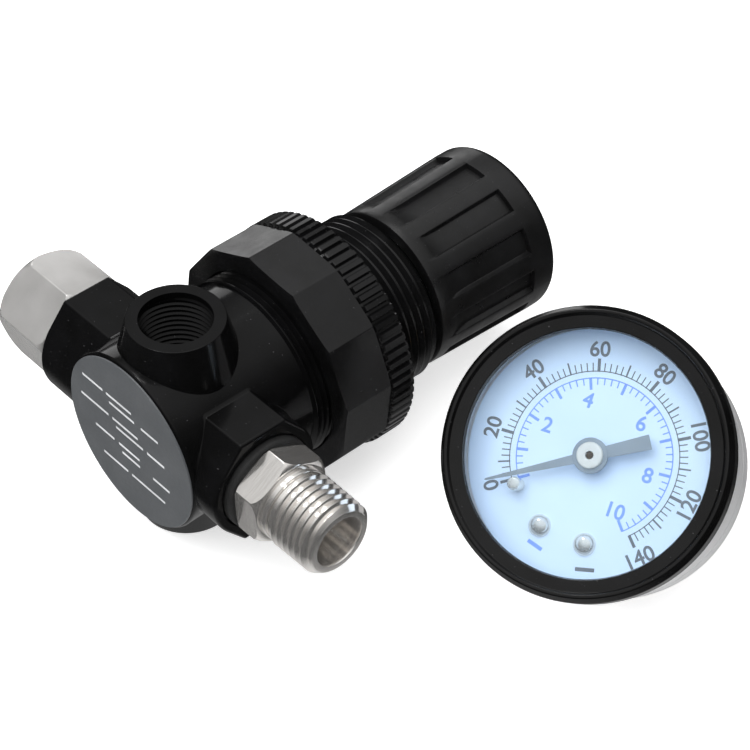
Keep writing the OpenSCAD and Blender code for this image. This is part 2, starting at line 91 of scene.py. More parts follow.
# The gauge's frame: X to the right of the dial, Y up the dial, Z out of it, from the bezel's front
facing = -Vector(joints["pointer_turn"]["axis"]).normalized()
rightward = Vector((0, 0, 1)).cross(facing).normalized()
PIVOT_DEPTH = 8     # from the bezel's front to the pointer's pivot
gauge_front = Vector(joints["pointer_turn"]["pos_m"]) / MM + PIVOT_DEPTH * facing
GAUGE = placed(gauge_front, rightward, facing.cross(rightward), facing)


# ---- Meshes ----

def added(name, data):
    """A new object in the scene, with that mesh, curve, lamp or camera."""
    obj = bpy.data.objects.new(name, data)
    bpy.context.scene.collection.objects.link(obj)
    return obj


def new_object(name, verts, faces, place=Matrix()):
    """A closed mesh object: points that meet are joined, and open ends are capped."""
    bm = bmesh.new()
    points = [bm.verts.new(place @ Vector(v)) for v in verts]
    for face in faces:
        bm.faces.new([points[i] for i in face])
    bmesh.ops.remove_doubles(bm, verts=bm.verts, dist=1e-4)
    bmesh.ops.dissolve_degenerate(bm, dist=1e-5, edges=bm.edges)
    rims = [e for e in bm.edges if e.is_boundary]
    if rims:
        bmesh.ops.holes_fill(bm, edges=rims, sides=0)
    bmesh.ops.recalc_face_normals(bm, faces=bm.faces)
    mesh = bpy.data.meshes.new(name)
    bm.to_mesh(mesh)
    bm.free()
    return added(name, mesh)


def skin(columns, shift=0, loop=False):
    """Points and faces of a surface through columns of points, the last joined to the first.
    shift is how many rows further up the first column the last one meets it, as on a thread."""
    rows = len(columns[0])
    faces = []
    for i in range(len(columns)):
        j = (i + 1) % len(columns)
        step = shift if j == 0 else 0
        for k in range(rows if loop else rows - 1):
            up = (k + 1) % rows
            if max(k, up) + step < rows:
                faces.append((i * rows + k, j * rows + k + step, j * rows + up + step, i * rows + up))
    return [p for column in columns for p in column], faces


def even_angles(count=FINE):
    return [math.tau * i / count for i in range(count)]


def around(angle, r, z):
    return (r * math.cos(angle), r * math.sin(angle), z)


def rounded(corners, steps=4):
    """An outline through corners given as (r, z) or (r, z, radius of its rounding)."""
    outline = []
    for i, corner in enumerate(corners):
        point = Vector(corner[:2])
        radius = corner[2] if len(corner) > 2 else 0
        if not radius:
            outline.append(tuple(point))
            continue
        back = (Vector(corners[i - 1][:2]) - point).normalized()
        ahead = (Vector(corners[(i + 1) % len(corners)][:2]) - point).normalized()
        half = back.angle(ahead) / 2
        centre = point + (back + ahead).normalized() * radius / math.sin(half)
        first = point + back * radius / math.tan(half) - centre
        last = point + ahead * radius / math.tan(half) - centre
        for s in range(steps + 1):
            outline.append(tuple(centre + radius * first.slerp(last, s / steps)))
    return outline


def turned(name, corners, place, ring=False, count=FINE):
    """A turned solid. Its outline runs from the axis back to the axis, or is a ring's closed section."""
    outline = rounded(corners)
    columns = [[around(a, r, z) for r, z in outline] for a in even_angles(count)]
    return new_object(name, *skin(columns, loop=ring), place)


def extruded(name, outline, low, high, place):
    """A flat plate from an outline of (x, y) corners."""
    columns = [[(x, y, low), (x, y, high)] for x, y in outline]
    return new_object(name, *skin(columns), place)


def combine(base, tool, operation):
    """base with tool joined to it or cut from it."""
    modifier = base.modifiers.new("combine", "BOOLEAN")
    modifier.object = tool
    modifier.operation = operation
    modifier.solver = "EXACT"
    evaluated = base.evaluated_get(bpy.context.evaluated_depsgraph_get())
    mesh = bpy.data.meshes.new_from_object(evaluated)
    base.modifiers.clear()
    base.data = mesh
    bpy.data.objects.remove(tool)
    return base


def joined(base, *tools):
    for tool in tools:
        combine(base, tool, "UNION")
    return base


def cut(base, *tools):
    for tool in tools:
        combine(base, tool, "DIFFERENCE")
    return base


def piece(obj, name, body, material, nodes=(), crease=30):
    """Finishes a solid: metres, shading with sharp edges, material, body and the nodes it stands for."""
    obj.name = name
    obj.data.name = name
    obj.data.transform(Matrix.Scale(MM, 4))
    bm = bmesh.new()
    bm.from_mesh(obj.data)
    for face in bm.faces:
        face.smooth = True
    for edge in bm.edges:
        edge.smooth = len(edge.link_faces) == 2 and edge.calc_face_angle() < math.radians(crease)
    bm.to_mesh(obj.data)
    bm.free()
    obj.data.materials.clear()
    obj.data.materials.append(material)
    weighted = obj.modifiers.new("even flats", "WEIGHTED_NORMAL")
    weighted.keep_sharp = True
    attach(obj, body)
    if nodes:
        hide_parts(*nodes)
    return obj


# A 60 degree thread form: where along one pitch, and how high between root and crest
THREAD_FORM = [(0, 0), (0.06, 0), (0.4, 0.9), (0.45, 1), (0.55, 1), (0.6, 0.9), (0.94, 0)]
# Threads and bores are turned a little, so that their points miss those of the solids they join or cut
OFF_PHASE = 0.0137


def form_height(phase):
    """Height of the thread form at a phase from 0 to 1 of its pitch."""
    points = THREAD_FORM + [(1, 0)]
    for (a, low), (b, high) in zip(points, points[1:]):
        if phase <= b:
            return low + (high - low) * (phase - a) / (b - a)
    return 0


def thread(crest, root, pitch, start, end, place, taper=0, bevel=0, run_in=0):
    """A stud with a helical thread from start to end. It loses taper of its radius on the way, has a
    bevel at its end, and the thread rises over run_in from its start."""
    form_rows = len(THREAD_FORM)
    turns = math.ceil((end - start) / pitch) + 2
    columns = []
    for angle in even_angles():
        lead = angle / math.tau
        column = []
        for row in range(turns * form_rows + 1):
            phase = row // form_rows + THREAD_FORM[row % form_rows][0]
            z = min(max(start + (phase - 1 + lead) * pitch, start), end)
            height = form_height(((z - start) / pitch - lead) % 1)
            if run_in:
                height *= min(1, (z - start) / run_in)
            r = root + (crest - root) * height - taper * (z - start) / (end - start)
            if bevel:
                r = min(r, crest - taper - bevel + (end - z))
            column.append(around(angle, r, z))
        columns.append(column)
    return new_object("thread", *skin(columns, shift=form_rows), place @ Matrix.Rotation(OFF_PHASE, 4, "Z"))


def polygon_edge(sides, apothem, corner):
    """The angle from the middle of a flat to where its corner's rounding starts."""
    return math.atan((apothem - corner) * math.tan(math.pi / sides) / apothem)


def polygon_radius(angle, sides, turn, apothem, corner):
    """Radius at an angle of a polygon with rounded corners. turn is the angle of one corner."""
    half = math.pi / sides
    off = abs((angle - turn) % (2 * half) - half)
    if off <= polygon_edge(sides, apothem, corner) + 1e-9:
        return apothem / math.cos(off)
    reach = (apothem - corner) / math.cos(half)
    away = half - off
    return reach * math.cos(away) + math.sqrt(max(corner ** 2 - (reach * math.sin(away)) ** 2, 0))


def polygon_angles(sides, turn, apothem, corner, flat_steps=12, corner_steps=4):
    """Angles of the points of a polygon with rounded corners."""
    half = math.pi / sides
    edge = polygon_edge(sides, apothem, corner)
    angles = []
    for side in range(sides):
        middle = turn + (2 * side + 1) * half
        angles += [middle + edge * (2 * i / flat_steps - 1) for i in range(flat_steps + 1)]
        angles += [middle + edge + 2 * (half - edge) * i / corner_steps for i in range(1, corner_steps)]
    return angles


def domed_polygon(sides, turn, apothem, corner, low, high, place, hole=()):
    """A prism whose ends are turned to domes. low and high are (z, radius of the face, length of the dome).
    hole is the section of its bore, as (r, z) from the high end to the low one."""
    widest = apothem / math.cos(math.pi / sides)
    dome_rows = 7
    columns = []
    for angle in polygon_angles(sides, turn, apothem, corner):
        full = polygon_radius(angle, sides, turn, apothem, corner)
        column = []
        for z_end, r_end, length in (low, high):
            inward = 1 if z_end == low[0] else -1
            rows = []
            flat_r = min(r_end, full)
            for i in range(dome_rows):
                r = flat_r + (full - flat_r) * i / (dome_rows - 1)
                share = max(0, min((r - r_end) / (widest - r_end), 1))
                rows.append(around(angle, r, z_end + inward * length * (1 - math.sqrt(1 - share ** 2))))
            column += rows if inward == 1 else rows[::-1]
        column += [around(angle, r, z) for r, z in hole]
        columns.append(column)
    return new_object("prism", *skin(columns, loop=bool(hole)), place)


# ---- Materials ----

def shader_of(name, **values):
    """A new material with one Principled shader, and the values of its sockets."""
    material = bpy.data.materials.new(name)
    material.use_nodes = True
    shader = material.node_tree.nodes["Principled BSDF"]
    for socket, value in values.items():
        shader.inputs[socket.replace("_", " ")].default_value = value
    return material, shader


def add(material, kind, **settings):
    """A new node. Settings name its properties, or its input sockets."""
    node = material.node_tree.nodes.new(kind)
    for key, value in settings.items():
        if hasattr(node, key):
            setattr(node, key, value)
        else:
            node.inputs[key.replace("_", " ")].default_value = value
    return node


def wire(material, output, socket):
    material.node_tree.links.new(output, socket)


def noise(material, scale, detail=3, stretch=None):
    """Noise over the object, with scale in features per metre. stretch scales X, Y and Z apart."""
    place = add(material, "ShaderNodeTexCoord")
    source = place.outputs["Object"]
    if stretch:
        mapping = add(material, "ShaderNodeMapping")
        mapping.inputs["Scale"].default_value = stretch
        wire(material, source, mapping.inputs["Vector"])
        source = mapping.outputs["Vector"]
    texture = add(material, "ShaderNodeTexNoise", Scale=scale, Detail=detail)
    wire(material, source, texture.inputs["Vector"])
    return texture.outputs["Fac"]


def blended(material, factor, low, high, start=0.3, stop=0.7):
    """A colour that runs from low to high as factor goes from start to stop."""
    ramp = add(material, "ShaderNodeValToRGB")
    ramp.color_ramp.elements[0].position = start
    ramp.color_ramp.elements[1].position = stop
    ramp.color_ramp.elements[0].color = (*low, 1)
    ramp.color_ramp.elements[1].color = (*high, 1)
    wire(material, factor, ramp.inputs["Fac"])
    return ramp.outputs["Color"]


def ranged(material, factor, low, high, start=0.3, stop=0.7):
    """A number that runs from low to high as factor goes from start to stop."""
    node = add(material, "ShaderNodeMapRange")
    for socket, value in zip(("From Min", "From Max", "To Min", "To Max"), (start, stop, low, high)):
        node.inputs[socket].default_value = value
    wire(material, factor, node.inputs["Value"])
    return node.outputs["Result"]


def bumped(material, shader, height, depth, strength=1.0):
    """Relief on the surface, with its depth in millimetres."""
    bump = add(material, "ShaderNodeBump", Strength=strength)
    bump.inputs["Distance"].default_value = depth * MM
    wire(material, height, bump.inputs["Height"])
    wire(material, bump.outputs["Normal"], shader.inputs["Normal"])


def black_coating(name, shade, roughness, sheen, peel):
    """A black surface with slight mottling, fine specks of dust and an uneven gloss. sheen is how strongly
    it reflects what it faces."""
    material, shader = shader_of(name, Specular_IOR_Level=sheen)
    mottle = blended(material, noise(material, 180), (shade * 0.7,) * 3, (shade * 1.3, shade * 1.3, shade * 1.4))
    dust = ranged(material, noise(material, 2600, detail=1), 0, 0.35, 0.755, 0.8)
    mix = add(material, "ShaderNodeMix", data_type="RGBA")
    mix.inputs["B"].default_value = (0.12, 0.12, 0.125, 1)
    wire(material, dust, mix.inputs["Factor"])
    wire(material, mottle, mix.inputs["A"])
    wire(material, mix.outputs["Result"], shader.inputs["Base Color"])
    gloss = ranged(material, noise(material, 420), roughness * 0.8, roughness * 1.25)
    wire(material, gloss, shader.inputs["Roughness"])
    bumped(material, shader, noise(material, 900, detail=2), peel)
    return material


def metal(name, low, high, roughness, stretch=None, grain=0.004, scale=300, metallic=1.0):
    """Bare or plated metal with tool marks that run across the stretched axis."""
    material, shader = shader_of(name, Metallic=metallic)
    marks = noise(material, scale, detail=5, stretch=stretch)
    wire(material, blended(material, marks, low, high), shader.inputs["Base Color"])
    wire(material, ranged(material, marks, roughness * 0.75, roughness * 1.3), shader.inputs["Roughness"])
    bumped(material, shader, marks, grain)
    return material


def moulded(name, low, high, roughness, grain=0.01, scale=1500, metallic=0.0):
    """Plastic, rubber or paint with a fine grain."""
    material, shader = shader_of(name, Metallic=metallic)
    texture = noise(material, scale)
    wire(material, blended(material, noise(material, scale / 8), low, high), shader.inputs["Base Color"])
    wire(material, ranged(material, texture, roughness * 0.85, roughness * 1.15), shader.inputs["Roughness"])
    bumped(material, shader, texture, grain)
    return material


def clear_lens(name):
    """A clear window: see-through, with the reflections of its surface on top."""
    material = bpy.data.materials.new(name)
    material.use_nodes = True
    tree = material.node_tree
    gloss = tree.nodes["Principled BSDF"]
    gloss.inputs["Base Color"].default_value = (0.9, 0.95, 1, 1)
    smudges = noise(material, 120, detail=4)
    wire(material, ranged(material, smudges, 0.015, 0.05), gloss.inputs["Roughness"])
    through = add(material, "ShaderNodeBsdfTransparent")
    wire(material, blended(material, smudges, (0.93, 0.965, 1.0), (0.95, 0.98, 1.0)), through.inputs["Color"])
    weight = add(material, "ShaderNodeFresnel", IOR=1.35)
    mix = add(material, "ShaderNodeMixShader")
    wire(material, weight.outputs["Fac"], mix.inputs["Fac"])
    wire(material, through.outputs["BSDF"], mix.inputs[1])
    wire(material, gloss.outputs["BSDF"], mix.inputs[2])
    wire(material, mix.outputs["Shader"], tree.nodes["Material Output"].inputs["Surface"])
    return material


black_body = black_coating("black_body_paint", 0.003, 0.13, 0.2, 0.004)
black_bonnet = black_coating("black_bonnet_plastic", 0.005, 0.2, 0.4, 0.003)
black_ring = black_coating("black_ring_plastic", 0.004, 0.2, 0.35, 0.003)
knob_black = black_coating("knob_satin_black", 0.006, 0.33, 0.4, 0.008)
bezel_black = black_coating("bezel_gloss_black", 0.003, 0.12, 0.35, 0.001)
label_grey = moulded("label_foil", (0.07, 0.075, 0.08), (0.085, 0.09, 0.095), 0.35, 0.004)
label_ink = moulded("label_ink", (0.45, 0.46, 0.47), (0.58, 0.59, 0.6), 0.5, 0.002)
nickel_nut = metal("nickel_of_nut", (0.6, 0.59, 0.575), (0.7, 0.69, 0.675), 0.22, scale=160, metallic=0.68)
nickel_nipple = metal("nickel_of_nipple", (0.8, 0.78, 0.75), (0.94, 0.91, 0.88), 0.13, (14, 1, 1), 0.004, 200,
                      metallic=0.9)
plug_steel = metal("dark_steel", (0.3, 0.3, 0.31), (0.42, 0.42, 0.43), 0.35)
bright_steel = metal("polished_steel", (0.84, 0.8, 0.73), (0.93, 0.9, 0.83), 0.16, metallic=0.75)
spring_wire = metal("spring_wire", (0.38, 0.38, 0.4), (0.5, 0.5, 0.52), 0.3)
brass = metal("brass_turned", (0.55, 0.38, 0.14), (0.72, 0.52, 0.24), 0.28)
plate_aluminium = metal("aluminium_plate", (0.6, 0.6, 0.61), (0.72, 0.72, 0.73), 0.35)
arbor_brown = metal("arbor_brown", (0.13, 0.09, 0.06), (0.2, 0.14, 0.09), 0.4)
rubber = moulded("rubber_black", (0.012, 0.012, 0.012), (0.02, 0.02, 0.02), 0.7)
case_silver = moulded("case_silver_paint", (0.66, 0.66, 0.67), (0.72, 0.72, 0.73), 0.35, 0.004, 1200, 0.25)
dial_white = moulded("dial_paint", (0.68, 0.79, 0.93), (0.71, 0.82, 0.95), 0.4, 0.002, 900)
ink_grey = moulded("scale_ink_grey", (0.13, 0.14, 0.15), (0.16, 0.17, 0.185), 0.5, 0.001)
ink_blue = moulded("scale_ink_blue", (0.2, 0.33, 0.82), (0.24, 0.38, 0.87), 0.5, 0.001)
pointer_grey = moulded("pointer_paint", (0.22, 0.25, 0.27), (0.26, 0.29, 0.31), 0.4, 0.002)
hub_cream = moulded("hub_paint", (0.62, 0.58, 0.5), (0.74, 0.7, 0.62), 0.35)
lens_clear = clear_lens("window_clear")


# ---- Body ----

BARREL_R = 15.6
BARREL_FRONT = span("label_plate", 1)[1]
BARREL_END = 24.8
NECK_R = 16.2
PORT_FACE = span("body", 2)[1]
BOSS_R, BOSS_BASE_R, BOSS_BASE = 7.85, 10.15, 11.5
PORT_R = mounts["gauge_port"]["dims"]["r_mm"]
PORT_DEPTH = mounts["gauge_port"]["dims"]["length_mm"]
PIPE_PITCH = 1.337
PIPE_THREAD_DEPTH = 0.72
SINK = 0.03         # how far a fillet's foot dips under the surface that it meets
EDGE_STEPS, FILLET_STEPS = 4, 6


def branch(name, outline, end, place, wall, fillet, edge):
    """A boss on the barrel: an outline drawn out to end, with rounded edges there and a fillet where it
    meets the barrel. wall(u, v) is the barrel's distance at a point of the outline, or None outside it."""
    count = len(outline)
    columns = []
    for i, (u, v) in enumerate(outline):
        before, after = outline[i - 1], outline[(i + 1) % count]
        normal = Vector((after[1] - before[1], before[0] - after[0])).normalized()
        foot = wall(u, v)
        room = fillet(u, v, normal)
        column = []
        for s in range(EDGE_STEPS + 1):
            bend = math.pi / 2 * s / EDGE_STEPS
            column.append((edge * (math.sin(bend) - 1), end - edge * (1 - math.cos(bend))))
        for s in range(FILLET_STEPS + 1):
            t = s / FILLET_STEPS
            out = room * t ** 2
            along = (1 - t) ** 2 * (foot + room) + 2 * t * (1 - t) * foot + t ** 2 * foot
            drop = foot - wall(u + normal.x * out, v + normal.y * out) + SINK
            column.append((out, along - drop * t))
        sunk_out, sunk_z = column[-1]
        column.append((sunk_out, sunk_z - 1))
        column.append((0, foot - 4))
        columns.append([(u + normal.x * o, v + normal.y * o, z) for o, z in column])
    return new_object(name, *skin(columns), place)


def barrel_wall(across):
    """Distance of the barrel's surface along a branch, at a point that far from the middle."""
    return math.sqrt(max(BARREL_R ** 2 - across ** 2, 1))


def front_room(distance, outward, usual):
    """A fillet's size at a point that far behind the barrel's front edge: it narrows where that is near."""
    if outward <= 0.05:
        return usual
    return max(0.05, min(usual, (distance - 0.9) / outward))


def arm(name, end, place):
    """An arm of the air line: round, with a wrench flat above and below."""
    arm_r, flat, half_w, round_steps = 10, 10.3, 4.4, 28
    touch = math.atan2(half_w, flat) + math.acos(arm_r / math.hypot(flat, half_w))
    corners = []
    for half_turn in (0, math.pi):
        spots = [(flat, half_w, 0.5)]
        spots += [(arm_r * math.cos(a), arm_r * math.sin(a)) for a in
                  [touch + (math.pi - 2 * touch) * i / round_steps for i in range(round_steps + 1)]]
        spots.append((-flat, half_w, 0.5))
        turn = Matrix.Rotation(half_turn, 2)
        corners += [(*(turn @ Vector(s[:2])), *s[2:]) for s in spots]
    outline = rounded(corners)

    def wall(u, v):
        return barrel_wall(u)

    def fillet(u, v, normal):
        return front_room(PORT_Y + v - BARREL_FRONT, -normal.y, 0.4)

    return branch(name, outline, end, place, wall, fillet, 0.5)


def gauge_boss(name, place):
    """The cone that a gauge port opens in."""
    return turned(name, [(0, BOSS_BASE), (BOSS_BASE_R, BOSS_BASE), (BOSS_R, PORT_FACE, 0.15), (0, PORT_FACE)],
                  place)


def bore(r, low, high, place):
    """A round cutter."""
    return turned("bore", [(0, low), (r, low), (r, high), (0, high)],
                  place @ Matrix.Rotation(OFF_PHASE, 4, "Z"))


def build_body():
    """The die-cast body with both arms, both gauge bosses and their ports."""
    inlet_end, outlet_end = -span("body", 0)[0], span("body", 0)[1]
    neck_end = span("body", 1)[1]
    body = turned("body", [(0, BARREL_FRONT), (BARREL_R, BARREL_FRONT, 0.6), (BARREL_R, BARREL_END, 0.3),
                           (15.2, BARREL_END), (15.2, neck_end), (0, neck_end)], KNOB_AXIS)
    joined(body, thread(NECK_R, 15.5, 1.1, BARREL_END - 0.3, neck_end - 0.1, KNOB_AXIS),
           arm("arm", inlet_end, TO_INLET), arm("arm", outlet_end, TO_OUTLET),
           gauge_boss("boss", UPWARD), gauge_boss("boss", DOWNWARD))
    cut(body, thread(PORT_R + 0.55, PORT_R, 1, 1 - PORT_FACE, PORT_DEPTH - PORT_FACE, DOWNWARD, run_in=0.5),
        bore(PORT_R + 0.03, PORT_FACE - 1.2, PORT_FACE + 1, UPWARD),
        bore(2.6, 4, PORT_FACE - 5, UPWARD),
        bore(PORT_R, PORT_FACE - PORT_DEPTH, PORT_FACE + 1, DOWNWARD),
        bore(PORT_R, inlet_end - PORT_DEPTH, inlet_end + 1, TO_INLET),
        bore(PORT_R, outlet_end - PORT_DEPTH, outlet_end + 1, TO_OUTLET),
        bore(8.5, outlet_end - 1, outlet_end + 1, TO_OUTLET))
    piece(body, "regulator_body", "regulator", black_body, ["body"])


build_body()


def flat_ink(name, shapes, place, height, body, material):
    """Printed marks: flat faces just above a surface, each shape a list of (x, y) corners."""
    verts = []
    faces = []
    for shape in shapes:
        faces.append(tuple(range(len(verts), len(verts) + len(shape))))
        verts += [place @ Vector((x, y, height)) for x, y in shape]
    mesh = bpy.data.meshes.new(name)
    mesh.from_pydata(verts, [], faces)
    piece(added(name, mesh), name, body, material)


def bar(x0, x1, y, half_h):
    """A level dash from x0 to x1."""
    return [(x0, y - half_h), (x1, y - half_h), (x1, y + half_h), (x0, y + half_h)]


def build_label():
    """The foil label, with rows of plain dashes in place of its lettering."""
    label_r = span("label_plate", 0)[1]
    plate = turned("label", [(0, 0.02), (label_r, 0.02, 0.1), (label_r, BARREL_FRONT), (0, BARREL_FRONT)],
                   KNOB_AXIS)
    piece(plate, "end_label", "regulator", label_grey, ["label_plate"])
    rows = [(7, (-11.4, -6.2)), (7, (-5.3, 1)), (5.5, (-4.7, 1.6)), (5.5, (3.3, 7.5)), (2.4, (-12.2, -5.2)),
            (2.4, (-4.2, 2.2)), (1, (-3.4, 3.4)), (1, (4.4, 8.7)), (-2.3, (-9, -4.2)), (-2.3, (-3, 2.2)),
            (-3.8, (-2.3, 2.2)), (-3.8, (5.5, 9.6)), (-7.3, (-7.4, -1.2)), (-7.3, (-0.2, 8.2))]
    marks = [bar(x0, x1, z, 0.25) for z, (x0, x1) in rows]
    seen = placed((0, 0, 0), (1, 0, 0), (0, 0, 1), (0, -1, 0))
    flat_ink("end_label_dashes", marks, seen, -0.003, "regulator", label_ink)


build_label()


# ---- Bonnet, panel nut and knob ----

COLLAR_TURN = math.radians(-9.1)
PANEL_R = mounts["panel_thread"]["dims"]["r_mm"]
PANEL_PITCH = 1.5


def build_bonnet():
    """The twelve-sided collar, the panel thread and the tube round the adjusting screw."""
    collar_front, tube_end = span("bonnet", 1)
    panel_seat = span("panel_nut", 1)[0] - 0.05
    panel_thread = mounts["panel_thread"]
    thread_end = panel_thread["pos_m"][1] / MM + panel_thread["dims"]["length_mm"] / 2
    collar = domed_polygon(12, COLLAR_TURN, 19.7, 0.35, (collar_front, 19.3, 0.25), (panel_seat, 19.8, 0.2),
                           KNOB_AXIS)
    cut(collar, bore(NECK_R + 0.25, collar_front - 1, collar_front + 7, KNOB_AXIS))
    tube = turned("tube", [(0, panel_seat - 1), (13.9, panel_seat - 1), (13.9, thread_end - 1, 0.3),
                           (11.4, thread_end - 1), (11.4, tube_end, 0.5), (0, tube_end)], KNOB_AXIS)
    joined(collar, tube, thread(PANEL_R, 14.1, PANEL_PITCH, panel_seat - 0.5, thread_end, KNOB_AXIS, bevel=0.7))
    piece(collar, "collar_and_neck", "regulator", black_bonnet, ["bonnet"])


build_bonnet()


def build_panel_nut():
    """The ring nut, with a coarse straight knurl that runs out on its bevelled edges."""
    front, back = span("panel_nut", 1)
    outer = span("panel_nut", 0)[1]
    inner = PANEL_R + 0.06
    knurls, depth, edge = 72, 0.62, 0.55
    shares = [0, 0.12, 0.2, 0.28, 0.72, 0.8, 0.88]
    heights = [0, 0, 0.35, 1, 1, 0.35, 0]
    columns = []
    for k in range(knurls):
        for share, height in zip(shares, heights):
            r = outer - depth * (1 - height)
            rows = [(inner, front), (outer - edge - 0.25, front), (min(r, outer - 0.12), front + edge * 0.6),
                    (r, front + edge), (r, back - edge), (min(r, outer - 0.12), back - edge * 0.6),
                    (outer - edge - 0.25, back), (inner, back)]
            columns.append([around((k + share) * math.tau / knurls, *row) for row in rows])
    nut = new_object("panel_nut_knurled", *skin(columns, loop=True), KNOB_AXIS)
    piece(nut, "knurled_panel_nut", "panel_nut", black_ring, ["panel_nut"])


build_panel_nut()


def build_knob():
    """The fluted knob: each flute starts softly at the base and ends in a sharp step under the band."""
    start, end = span("knob", 1)
    base_r, band_r, inner, inner_end = 14.35, 15.2, 12, 74.5
    flutes, flute_start, flute_end, depth = 12, start + 2.1, 74.3, 0.95
    band_start = 76
    levels = [(start, -0.6, 0), (start + 0.15, -0.15, 0), (start + 0.5, 0, 0), (start + 1.2, 0, 0),
              (flute_start, 0, 0), (flute_start + 0.9, 0, 0.25), (flute_start + 2.2, 0, 0.7),
              (flute_start + 4.2, 0, 1), (flute_end - 6, 0, 1), (flute_end - 0.1, 0, 1), (flute_end, 0, 0),
              (flute_end + 0.3, 0, 0), (band_start, 0, 0)]
    offsets = [-15, -12, -9.6, -8.7, -8.1, -7.4, -4, 0, 4, 7.4, 8.1, 8.7, 9.6, 12]
    shares = [0, 0, 0, 0.1, 0.75, 1, 1, 1, 1, 1, 0.75, 0.1, 0, 0]
    tip = rounded([(band_r, band_start), (band_r, end, 1.6), (0, end)], steps=8)[1:]
    columns = []
    for flute in range(flutes):
        for offset, share in zip(offsets, shares):
            angle = math.radians(flute * 360 / flutes + offset)
            column = [around(angle, inner, inner_end), around(angle, inner, start + 0.2)]
            for z, grow, cut_share in levels:
                r = base_r + (band_r - base_r) * (z - start) / (band_start - start) + grow
                column.append(around(angle, r - depth * share * cut_share, z))
            column += [around(angle, r, z) for r, z in tip]
            column.append((0, 0, inner_end))
            columns.append(column)
    knob = new_object("knob_fluted", *skin(columns, loop=True), KNOB_AXIS)
    cap_r = span("knob_cap", 0)[1]
    cut(knob, turned("gap", [(cap_r - 0.1, end - 0.3), (cap_r + 0.15, end - 0.3), (cap_r + 0.15, end + 1),
                             (cap_r - 0.1, end + 1)], KNOB_AXIS, ring=True))
    piece(knob, "fluted_knob", "knob", knob_black, ["knob", "knob_cap"])


build_knob()


# ---- Fittings on the air line ----

def build_outlet():
    """The hexagon nipple with its male thread, and the seal ring under its hexagon."""
    seal_start, hex_start = span("nipple_seal", 0)
    end = span("outlet_nipple", 0)[1]
    pin = mounts["outlet_thread"]
    thread_start = pin["pos_m"][0] / MM - pin["dims"]["length_mm"] / 2
    crest = pin["dims"]["r_mm"]
    nipple = domed_polygon(6, math.radians(2.7), 7, 0.25, (hex_start, 6.9, 0.6), (hex_start + 5, 6.6, 1.6),
                           TO_OUTLET)
    joined(nipple,
           turned("neck", [(0, hex_start - 8), (PORT_R - 0.05, hex_start - 8), (PORT_R - 0.05, hex_start + 1),
                           (6.35, hex_start + 1), (6.35, thread_start - 0.15, 0.2), (5.6, thread_start - 0.1),
                           (5.6, end, 0.2), (0, end)], TO_OUTLET),
           thread(crest, crest - PIPE_THREAD_DEPTH - 0.1, PIPE_PITCH, thread_start - 0.1, end - 0.1, TO_OUTLET,
                  taper=0.16, bevel=0.8, run_in=1))
    cut(nipple, turned("bore", rounded([(0, 5), (2.9, 5), (2.9, 29.5), (4.27, 32), (4.27, end - 0.5),
                                        (4.6, end + 0.2), (0, end + 0.2)]), TO_OUTLET))
    piece(nipple, "outlet_nipple_plated", "regulator", nickel_nipple, ["outlet_nipple"])
    seal = turned("seal", [(PORT_R, seal_start), (8.15, seal_start, 0.2), (8.15, hex_start, 0.7),
                           (PORT_R, hex_start)], TO_OUTLET, ring=True)
    piece(seal, "outlet_seal_ring", "regulator", rubber, ["nipple_seal"])


def build_inlet():
    """The swivel nut, with the bore and the female thread in it."""
    start, end = sorted(-x for x in span("swivel_nut", 0))
    hole = mounts["inlet_thread"]["dims"]
    thread_start = end - hole["length_mm"]
    nut = domed_polygon(6, math.radians(-16.1), 8.5, 0.3, (start, 8.4, 1.6), (end, 8.1, 3.4), TO_INLET,
                        [(6.95, end), (5.8, end - 1.15), (5.8, thread_start), (6.3, thread_start), (6.3, 25.6),
                         (4.78, 25.6), (4.78, start)])
    cut(nut, thread(hole["r_mm"] + PIPE_THREAD_DEPTH, hole["r_mm"], PIPE_PITCH, thread_start - 0.2, end + 1,
                    TO_INLET))
    piece(nut, "swivel_nut_plated", "swivel_nut", nickel_nut, ["swivel_nut"])


build_outlet()
build_inlet()


def build_plug():
    """The socket-head plug in the lower gauge port."""
    face, inside = [-z for z in span("port_plug", 2)]
    plug = turned("plug", [(0, inside), (5.8, inside), (5.8, face, 0.5), (0, face)], DOWNWARD)
    socket = domed_polygon(6, 0, 3, 0.1, (face - 4.5, 3, 0.01), (face + 1, 3, 0.01), DOWNWARD)
    cut(plug, socket, turned("mouth", [(0, face - 0.4), (3.1, face - 0.4), (3.7, face + 0.1), (0, face + 0.1)],
                             DOWNWARD))
    piece(plug, "port_plug_socket", "regulator", plug_steel, ["port_plug"])


build_plug()


# ---- Gauge ----

BEZEL_R, WINDOW_R, CASE_R, CASE_DEPTH = 22.5, 18.8, 21.2, 23.9
LENS_FRONT, LENS_BACK, CASE_RIM, BEZEL_BACK = -1.3, -2.8, -3.4, -4.6
DIAL_Z, DIAL_R = -7.5, 19.8
TUBE_FOOT = 210     # where the tube's foot is, in degrees round the dial from its right side
ZERO = 213.5        # where both scales start, in degrees round the dial from its right side
NUMERAL_WEIGHT = 0.06       # how far the strokes are thickened on each side


